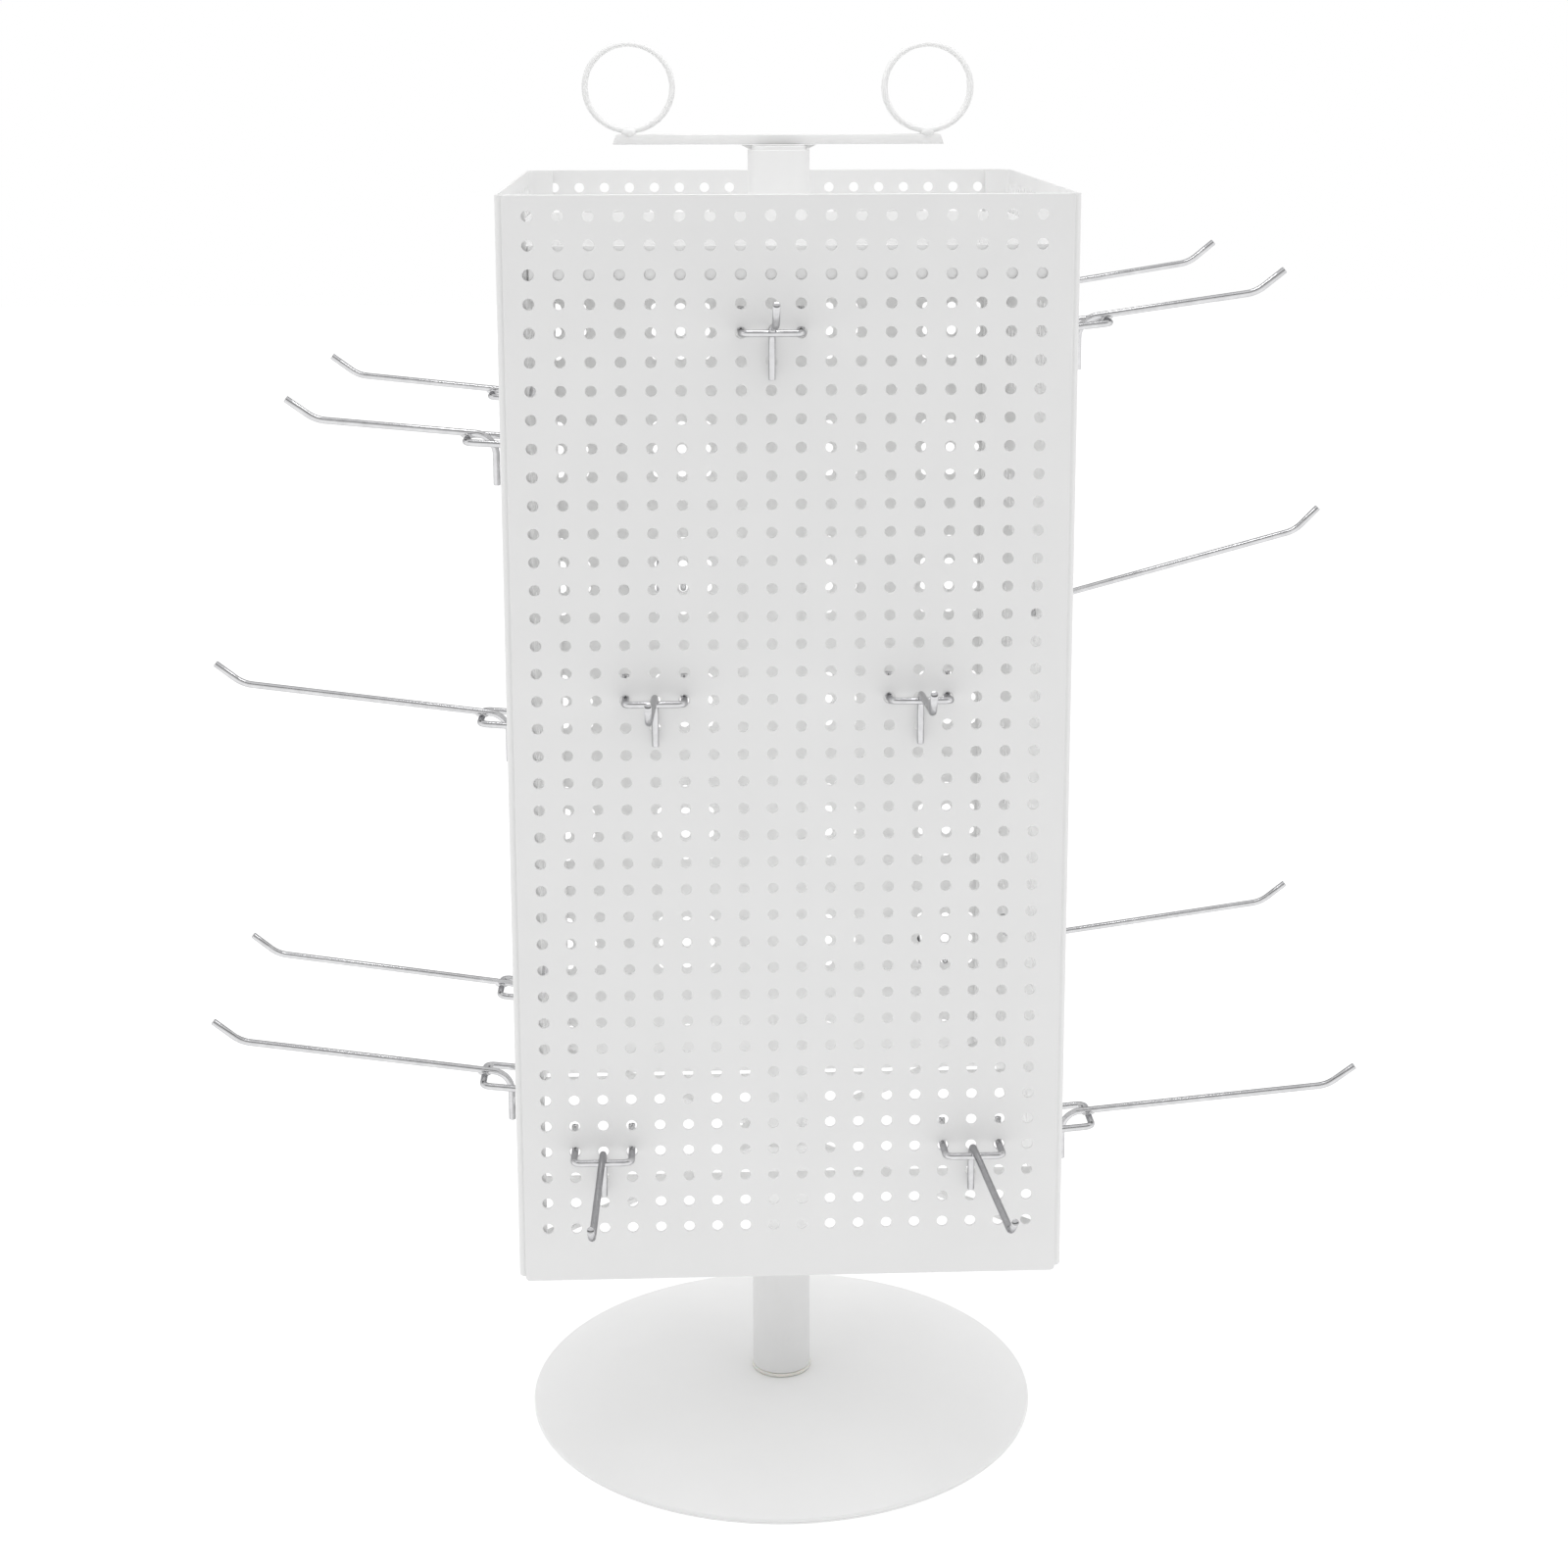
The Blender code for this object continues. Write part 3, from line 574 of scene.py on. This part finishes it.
def flat_panel(node, outward):
    """The front or rear sheet, flat, with small round corners."""
    low_corner, high_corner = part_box(node)
    half = high_corner.x
    face = high_corner.y if outward > 0 else low_corner.y

    def rounded(value, limit):
        """How far into the corner's square a value is, from 0 to 1."""
        return max(0.0, (value - (limit - SHEET_CORNER)) / SHEET_CORNER)

    middle = (low_corner.z + high_corner.z) / 2
    tall = high_corner.z - middle

    def place(s, z, depth):
        a, b = rounded(abs(s), half), rounded(abs(z - middle), tall)
        if a > 0 and b > 0:
            s = math.copysign(half - SHEET_CORNER + SHEET_CORNER * a * math.sqrt(1 - b * b / 2), s)
            rise = tall - SHEET_CORNER + SHEET_CORNER * b * math.sqrt(1 - a * a / 2)
            z = middle + math.copysign(rise, z - middle)
        return (s, face - outward * depth, z)

    left = [-half, -half + SHEET_EDGE, -half + SHEET_CORNER / 2, -half + SHEET_CORNER]
    right = [-value for value in reversed(left)]
    low, high = heights(node)
    stand_for(node, perforated(node, place, left, right, low, high, FACE_GRID_SHIFT))


def side_panel(node, outward):
    """A side sheet with a flange folded in along its front and rear edges."""
    low_corner, high_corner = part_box(node)
    face = max(abs(low_corner.x), abs(high_corner.x))
    half = high_corner.y - SIDE_FLANGE_BACK
    web = half - SIDE_BEND_RADIUS
    arc = SIDE_BEND_RADIUS * math.pi / 2
    end = web + arc + SIDE_FLANGE - SIDE_BEND_RADIUS

    def place(s, z, depth):
        past = abs(s) - web
        if past <= 0:
            across, out = abs(s), face - depth
        elif past <= arc:
            turn = past / SIDE_BEND_RADIUS
            across = web + (SIDE_BEND_RADIUS - depth) * math.sin(turn)
            out = face - SIDE_BEND_RADIUS + (SIDE_BEND_RADIUS - depth) * math.cos(turn)
        else:
            across, out = half - depth, face - SIDE_BEND_RADIUS - (past - arc)
        return (outward * out, math.copysign(across, s), z)

    bends = [web + arc * (1 - i / BEND_STEPS) for i in range(BEND_STEPS + 1)]
    left = [-end, -end + SHEET_EDGE] + [-value for value in bends]
    right = [-value for value in reversed(left)]
    low, high = heights(node)
    stand_for(node, perforated(node, place, left, right, low, high, 0.0))


# ---------------------------------------------------------------- hooks


def hook_points(slope, onward, past):
    """The crossbar, and the bend and tip of an arm of that slope, past the crossbar."""
    leg = math.radians(slope - LEG_UNDER_ARM)
    crossbar = Vector((CROSSBAR_OUT * math.cos(leg), 0, CROSSBAR_OUT * math.sin(leg)))
    over = CAD_ARM_OVER_CROSSBAR / math.cos(math.radians(slope))
    bend = crossbar + onward * past + Vector((0, 0, over + past * math.tan(math.radians(slope))))
    tip_turn = math.radians(slope + TIP_OVER_ARM)
    tip = bend + (onward * math.cos(tip_turn) + Vector((0, 0, math.sin(tip_turn)))) * TIP_LENGTH
    return crossbar, bend, tip


def hook_shape(node, to_pivot):
    """The slope, direction and bend of a CAD hook's arm, from where its tip is."""
    usual = math.radians(USUAL_TIP_SLOPE)
    along = Vector((math.cos(usual), 0, math.sin(usual)))
    corners = [to_pivot @ vertex.co for vertex in frame["nodes"][node].data.vertices]
    furthest = max(corner.dot(along) for corner in corners)
    cut = [corner for corner in corners if corner.dot(along) > furthest - WIRE_RADIUS]
    low = [min(corner[i] for corner in cut) for i in range(3)]
    high = [max(corner[i] for corner in cut) for i in range(3)]
    end = (Vector(low) + Vector(high)) / 2
    slope = LEG_UNDER_ARM
    for _ in range(30):
        crossbar = hook_points(slope, Vector((1, 0, 0)), 0)[0]
        level = Vector((end.x - crossbar.x, end.y, 0))
        onward = level.normalized()
        past = level.length - TIP_LENGTH * math.cos(math.radians(slope + TIP_OVER_ARM))
        tip = hook_points(slope, onward, past)[2]
        slope += math.degrees(math.atan2(end.z - tip.z, end.x))
    return slope, onward, past


def hook(node, joint):
    """An arm welded over a crossbar whose two legs end in upturned prongs."""
    pivot, axis = Vector(joint["pos_m"]), Vector(joint["axis"])
    outward = Vector((0, 0, 1)).cross(axis)
    to_world = Matrix.Translation(pivot) @ Matrix.Rotation(math.atan2(outward.y, outward.x), 4, "Z")
    slope, onward, past = hook_shape(node, to_world.inverted())
    crossbar, bend, tip = hook_points(slope, onward, past)
    rise = math.tan(math.radians(slope))
    lift = Vector((0, 0, ARM_OVER_CROSSBAR - CAD_ARM_OVER_CROSSBAR))
    heel = bend - (onward + Vector((0, 0, rise))) * ((bend.x - TAIL_OUT) / onward.x) + lift
    tail = Vector((heel.x, heel.y, -TAIL_DROP))
    arm_path = filleted([tail, heel, bend, tip], [TAIL_BEND_RADIUS, TIP_BEND_RADIUS], 12)
    arm = wire(node, arm_path, WIRE_RADIUS, Vector((0, 1, 0)))

    leg_turn = Matrix.Rotation(-math.radians(slope - LEG_UNDER_ARM), 3, "Y")
    bracket_points = []
    for side in (1, -1):
        points = [(-PRONG_IN, PRONG_RISE), (-PRONG_IN, 0), (CROSSBAR_OUT, 0)][::side]
        bracket_points += [leg_turn @ Vector((x, side * HALF_CROSSBAR, z)) for x, z in points]
    bracket_path = filleted(bracket_points, [PRONG_BEND_RADIUS] * 4, 8)
    bracket = wire(node, bracket_path, WIRE_RADIUS, Vector((0, 1, 0)))

    tilt = Matrix.Rotation(-math.radians(slope), 3, "Y")
    middle = crossbar + Vector((0, 0, ARM_OVER_CROSSBAR / 2))
    weld = bead(node, middle, WELD_SIZE, tilt)
    mesh = union(node, [arm, bracket, weld])
    mesh.transform(to_world)
    stand_for(node, mesh, 50.0)


def hooks():
    for joint in record["behaviour"]["joints"]:
        if joint["child"].startswith("hook_"):
            hook(joint["child"], joint)


# ---------------------------------------------------------------- sign holder


def sign_ring(node):
    """A flat coil of nearly two turns, welded to the bar where it rests."""
    low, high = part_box(node)
    bar_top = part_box("sign_bar")[1].z
    centre = (low + high) / 2
    radius_x = (high.x - low.x) / 2 - RING_WIRE_RADIUS
    radius_z = (high.z - low.z) / 2 - RING_WIRE_RADIUS
    steps = round(RING_STEPS_PER_TURN * RING_TURNS)
    depth = RING_COIL_PITCH * RING_TURNS
    path = []
    for i in range(steps + 1):
        turn = math.radians(RING_ENDS[node]) + 2 * math.pi * RING_TURNS * i / steps
        x, z = centre.x + radius_x * math.cos(turn), centre.z + radius_z * math.sin(turn)
        path.append(Vector((x, -depth / 2 + depth * i / steps, z)))
    coil = wire(node, path, RING_WIRE_RADIUS, Vector((0, 1, 0)))
    bar_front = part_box("sign_bar")[0].y
    spot = Vector((centre.x, bar_front / 2, bar_top + RING_WIRE_RADIUS / 2))
    weld = bead(node, spot, RING_WELD_SIZE, Matrix.Identity(3))
    stand_for(node, union(node, [coil, weld]), 50.0, "wire_coat")


def sign_plug():
    """A tube pressed into the sleeve, with a gusset each side under the bar."""
    node = "sign_plug"
    low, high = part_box(node)
    radius = high.y
    bore, top = radius - SLEEVE_WALL, high.z - PLUG_SLIT
    tube = lathe(node, [(bore, low.z), (radius, low.z), (radius, top), (bore, top)])
    meshes = [tube]
    bottom = high.z - GUSSET_BOTTOM_UNDER_TOP
    for side in (-1, 1):
        outline = [(GUSSET_INNER, bottom), (GUSSET_LOW, bottom)]
        outline += [(high.x, high.z), (GUSSET_INNER, high.z)]
        skin = Skin()
        for y in (-GUSSET_HALF_THICKNESS, GUSSET_HALF_THICKNESS):
            skin.face([(side * x, y, z) for x, z in outline])
        near = [(side * x, -GUSSET_HALF_THICKNESS, z) for x, z in outline]
        far = [(side * x, GUSSET_HALF_THICKNESS, z) for x, z in outline]
        skin.between(near, far)
        meshes.append(skin.mesh(node))
    stand_for(node, union(node, meshes))


# ---------------------------------------------------------------- tubes and base


def tube(node, wall, ease=0.3 * MM):
    """A plain turned tube that fills its node's box."""
    low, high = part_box(node)
    outer = high.x
    profile = [(outer - wall, low.z), (outer, low.z), (outer, high.z), (outer - wall, high.z)]
    stand_for(node, lathe(node, profile, ease=ease))


def base_shell():
    """A shallow pressed dome whose rim is rolled and hemmed, with a groove over the hem."""
    node = "base_shell"
    low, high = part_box(node)
    radius, top = high.x, high.z
    span = radius - BASE_FLAT_RADIUS
    drop = top - BASE_RIM_TOP
    roll = RIM_ROLL
    outer = [(BOLT_HOLE_RADIUS, top)]
    for i in range(BASE_DOME_STEPS + 1):
        share = i / BASE_DOME_STEPS
        outer.append((BASE_FLAT_RADIUS + (span - roll) * share, top - drop * share**2))
    for i in range(1, RIM_ROLL_STEPS + 1):
        turn = math.pi / 2 * i / RIM_ROLL_STEPS
        r, z = radius - roll + roll * math.sin(turn), BASE_RIM_TOP - roll + roll * math.cos(turn)
        outer.append((r, z))
    hem = BASE_RIM_TOP - roll
    outer += [(radius, hem - HEM_GROOVE / 3), (radius - HEM_GROOVE, hem - HEM_GROOVE / 2)]
    outer += [(radius - HEM_GROOVE, hem - HEM_GROOVE), (radius, hem - HEM_GROOVE * 1.2)]
    outer += [(radius, low.z), (radius - BASE_SHEET, low.z)]
    dome = reversed(outer[: BASE_DOME_STEPS + 2])
    inner = [(r, z - BASE_SHEET) for r, z in dome if r < radius - BASE_SHEET]
    stand_for(node, lathe(node, outer + inner, BASE_STEPS, ease=0.15 * MM))


def stepped(node, steps, ease=0.3 * MM):
    """Turns a node on the axis from its closed profile of (radius, height above its bottom)."""
    low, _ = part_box(node)
    stand_for(node, lathe(node, [(r, low.z + z) for r, z in steps], ease=ease))


def under_base():
    """The weight plate, the four feet, and the bolt with its washer and nut."""
    low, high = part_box("base_weight")
    radius, tall = high.x, high.z - low.z
    stepped(
        "base_weight",
        [
            (WEIGHT_RECESS_RADIUS, 0),
            (radius, 0),
            (radius, tall),
            (BOLT_HOLE_RADIUS, tall),
            (BOLT_HOLE_RADIUS, WEIGHT_RECESS),
            (WEIGHT_RECESS_RADIUS, WEIGHT_RECESS),
        ],
        0.5 * MM,
    )
    for number in range(1, 5):
        node = f"rubber_foot_{number}"
        low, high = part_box(node)
        centre = (low + high) / 2
        radius = (high.x - low.x) / 2
        dimple, depth = radius * FOOT_DIMPLE_SHARE, low.z + FOOT_DIMPLE
        profile = [(0, depth), (dimple, depth), (dimple + FOOT_EASE, low.z), (radius, low.z)]
        profile += [(radius, high.z), (0, high.z)]
        stand_for(node, lathe(node, profile, FOOT_STEPS, (centre.x, centre.y), FOOT_EASE))
    tube("base_washer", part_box("base_washer")[1].x - BOLT_HOLE_RADIUS)
    tube("pole_nut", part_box("pole_nut")[1].x - BOLT_HOLE_RADIUS)
    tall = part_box("base_bolt")[1].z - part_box("base_bolt")[0].z
    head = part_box("base_bolt")[1].x
    stepped(
        "base_bolt",
        [
            (0, BOLT_SOCKET),
            (BOLT_SOCKET_RADIUS, BOLT_SOCKET),
            (BOLT_SOCKET_RADIUS, 0),
            (head, 0),
            (head, BOLT_HEAD),
            (BOLT_RADIUS, BOLT_HEAD),
            (BOLT_RADIUS, tall),
            (0, tall),
        ],
    )


def bearings():
    """The flanged bush at the sleeve's foot, the domed bearing and the cap that rests on it."""
    low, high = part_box("lower_bush")
    flange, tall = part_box("sleeve")[1].x + FLANGE_PAST_SLEEVE, high.z - low.z
    stepped(
        "lower_bush",
        [
            (BUSH_BORE, 0),
            (flange, 0),
            (flange, BUSH_FLANGE),
            (BUSH_RADIUS, BUSH_FLANGE),
            (BUSH_RADIUS, tall),
            (BUSH_BORE, tall),
        ],
    )
    low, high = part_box("top_bearing")
    tall, radius = high.z - low.z, high.x
    stepped(
        "top_bearing",
        [
            (0, 0),
            (BEARING_STEM_RADIUS, 0),
            (BEARING_STEM_RADIUS, BEARING_STEM),
            (radius, BEARING_STEM),
            (radius, tall - BEARING_DOME),
            (radius / 2, tall - BEARING_DOME / 5),
            (0, tall),
        ],
    )
    low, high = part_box("thrust_cap")
    radius, tall = high.x, high.z - low.z
    stepped("thrust_cap", [(0, 0), (radius, 0), (radius, tall), (0, tall)], 0.5 * MM)


# ---------------------------------------------------------------- the set


def pale_floor():
    """A plain pale floor that glows faintly, so it stays as light as the room."""
    reach = FLOOR_REACH
    corners = [(-reach, -reach, 0), (reach, -reach, 0), (reach, reach, 0), (-reach, reach, 0)]
    mesh = bpy.data.meshes.new("floor")
    mesh.from_pydata(corners, [], [(0, 1, 2, 3)])
    floor = bpy.data.objects.new("floor", mesh)
    bpy.context.scene.collection.objects.link(floor)
    paint = bpy.data.materials.new("floor_paint")
    paint.use_nodes = True
    shader = paint.node_tree.nodes["Principled BSDF"]
    shader.inputs["Base Color"].default_value = (FLOOR_GREY, FLOOR_GREY, FLOOR_GREY, 1)
    shader.inputs["Roughness"].default_value = 0.9
    shader.inputs["Specular IOR Level"].default_value = 0.0
    shader.inputs["Emission Color"].default_value = (1, 1, 1, 1)
    shader.inputs["Emission Strength"].default_value = FLOOR_GLOW
    mesh.materials.append(paint)


def room():
    """A white backdrop, a sky brighter overhead and behind, and a banded room for metal to show."""
    world = bpy.data.worlds.new("studio")
    bpy.context.scene.world = world
    world.use_nodes = True
    nodes, links = world.node_tree.nodes, world.node_tree.links
    nodes.clear()

    def between(low, high, value, start=0.0):
        """Takes a value from the range start to 1 to the range low to high."""
        scale = nodes.new("ShaderNodeMapRange")
        scale.inputs["From Min"].default_value = start
        scale.inputs["To Min"].default_value = low
        scale.inputs["To Max"].default_value = high
        links.new(value, scale.inputs["Value"])
        return scale.outputs["Result"]

    def choose(switch, one, other):
        mix = nodes.new("ShaderNodeMixShader")
        for i, output in enumerate((switch, one, other)):
            links.new(output, mix.inputs[i])
        return mix.outputs["Shader"]

    direction = nodes.new("ShaderNodeSeparateXYZ")
    links.new(nodes.new("ShaderNodeTexCoord").outputs["Generated"], direction.inputs["Vector"])
    white = nodes.new("ShaderNodeBackground")
    white.inputs["Color"].default_value = (1, 1, 1, 1)
    sky = nodes.new("ShaderNodeBackground")
    strength = nodes.new("ShaderNodeMath")
    strength.operation = "MULTIPLY"
    by_height = between(SKY_AT_HORIZON, SKY_OVERHEAD, direction.outputs["Z"])
    by_depth = between(SKY_AT_FRONT, SKY_AT_REAR, direction.outputs["Y"], -1.0)
    links.new(by_height, strength.inputs[0])
    links.new(by_depth, strength.inputs[1])
    links.new(strength.outputs["Value"], sky.inputs["Strength"])
    banded = nodes.new("ShaderNodeBackground")
    ramp = nodes.new("ShaderNodeValToRGB")
    stops = ramp.color_ramp.elements
    stops[0].color = ROOM_BELOW
    stops[1].color = ROOM_ABOVE
    for position, level in ROOM_BANDS:
        stops.new(position).color = (level, level, level, 1)
    links.new(direction.outputs["Z"], ramp.inputs["Fac"])
    links.new(ramp.outputs["Color"], banded.inputs["Color"])
    ray = nodes.new("ShaderNodeLightPath").outputs
    sky, banded = sky.outputs["Background"], banded.outputs["Background"]
    light = choose(ray["Is Glossy Ray"], sky, banded)
    seen = choose(ray["Is Camera Ray"], light, white.outputs["Background"])
    links.new(seen, nodes.new("ShaderNodeOutputWorld").inputs["Surface"])


def lamps():
    """Two softboxes, and faint lights that stand for light bounced between white sheets."""
    for name, side, energy in (("left", -1, LEFT_SOFTBOX), ("right", 1, RIGHT_SOFTBOX)):
        place = (side * SOFTBOX_OUT, SOFTBOX_DEPTH, SOFTBOX_HEIGHT)
        softbox(f"{name}_softbox", place, energy, (1.0, 1.0), SOFTBOX_AIM)
    tower_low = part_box("left_panel")[0]
    under = tower_low.z - 6.0 * MM
    softbox("under_glow", (0, 0, under), UNDER_GLOW, (0.2, 0.2), (0, 0, 0))
    softbox("top_glow", (0, -0.1, 0.9), TOP_GLOW, (0.3, 0.04), (0, -0.1, 0))
    inside = 0.75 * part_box("front_panel")[1].x
    middle = (tower_low.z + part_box("top_plate")[0].z) / 2
    for x, y in ((-1, -1), (1, -1), (1, 1), (-1, 1)):
        place = (inside * x, inside * y, middle)
        softbox(f"inner_glow_{x}_{y}", place, INNER_GLOW, (0.02, 0.36), (0, 0, middle))


def softbox(name, place, energy, size, aim):
    """A rectangular soft light that the camera doesn't see."""
    light = bpy.data.lights.new(name, "AREA")
    light.shape = "RECTANGLE"
    light.energy = energy
    light.size, light.size_y = size
    lamp = bpy.data.objects.new(name, light)
    lamp.location = place
    lamp.rotation_euler = (Vector(aim) - Vector(place)).to_track_quat("-Z", "Y").to_euler()
    lamp.visible_camera = False
    bpy.context.scene.collection.objects.link(lamp)


def camera():
    """The front view, with its lens and shift."""
    data = bpy.data.cameras.new("camera")
    data.lens = CAMERA_LENS
    data.shift_x, data.shift_y = CAMERA_SHIFT
    seen = bpy.data.objects.new("camera", data)
    seen.location = CAMERA_PLACE
    seen.rotation_euler = [math.radians(angle) for angle in CAMERA_TURN]
    bpy.context.scene.collection.objects.link(seen)
    bpy.context.scene.camera = seen


make_finishes()
camera()
pale_floor()
room()
lamps()
flat_panel("front_panel", -1)
flat_panel("back_panel", 1)
side_panel("left_panel", -1)
side_panel("right_panel", 1)
hooks()
for ring_name in RING_ENDS:
    sign_ring(ring_name)
sign_plug()
for edged in ("top_plate", "lower_spider", "cross_strap_front", "cross_strap_rear"):
    softened(edged, 0.3 * MM)
softened("sign_bar", 0.4 * MM, 3)
tube("sleeve", SLEEVE_WALL, 0.4 * MM)
tube("pole", POLE_WALL)
base_shell()
under_base()
bearings()
bpy.context.scene.view_settings.view_transform = "Standard"
bpy.context.scene.cycles.diffuse_bounces = DIFFUSE_BOUNCES
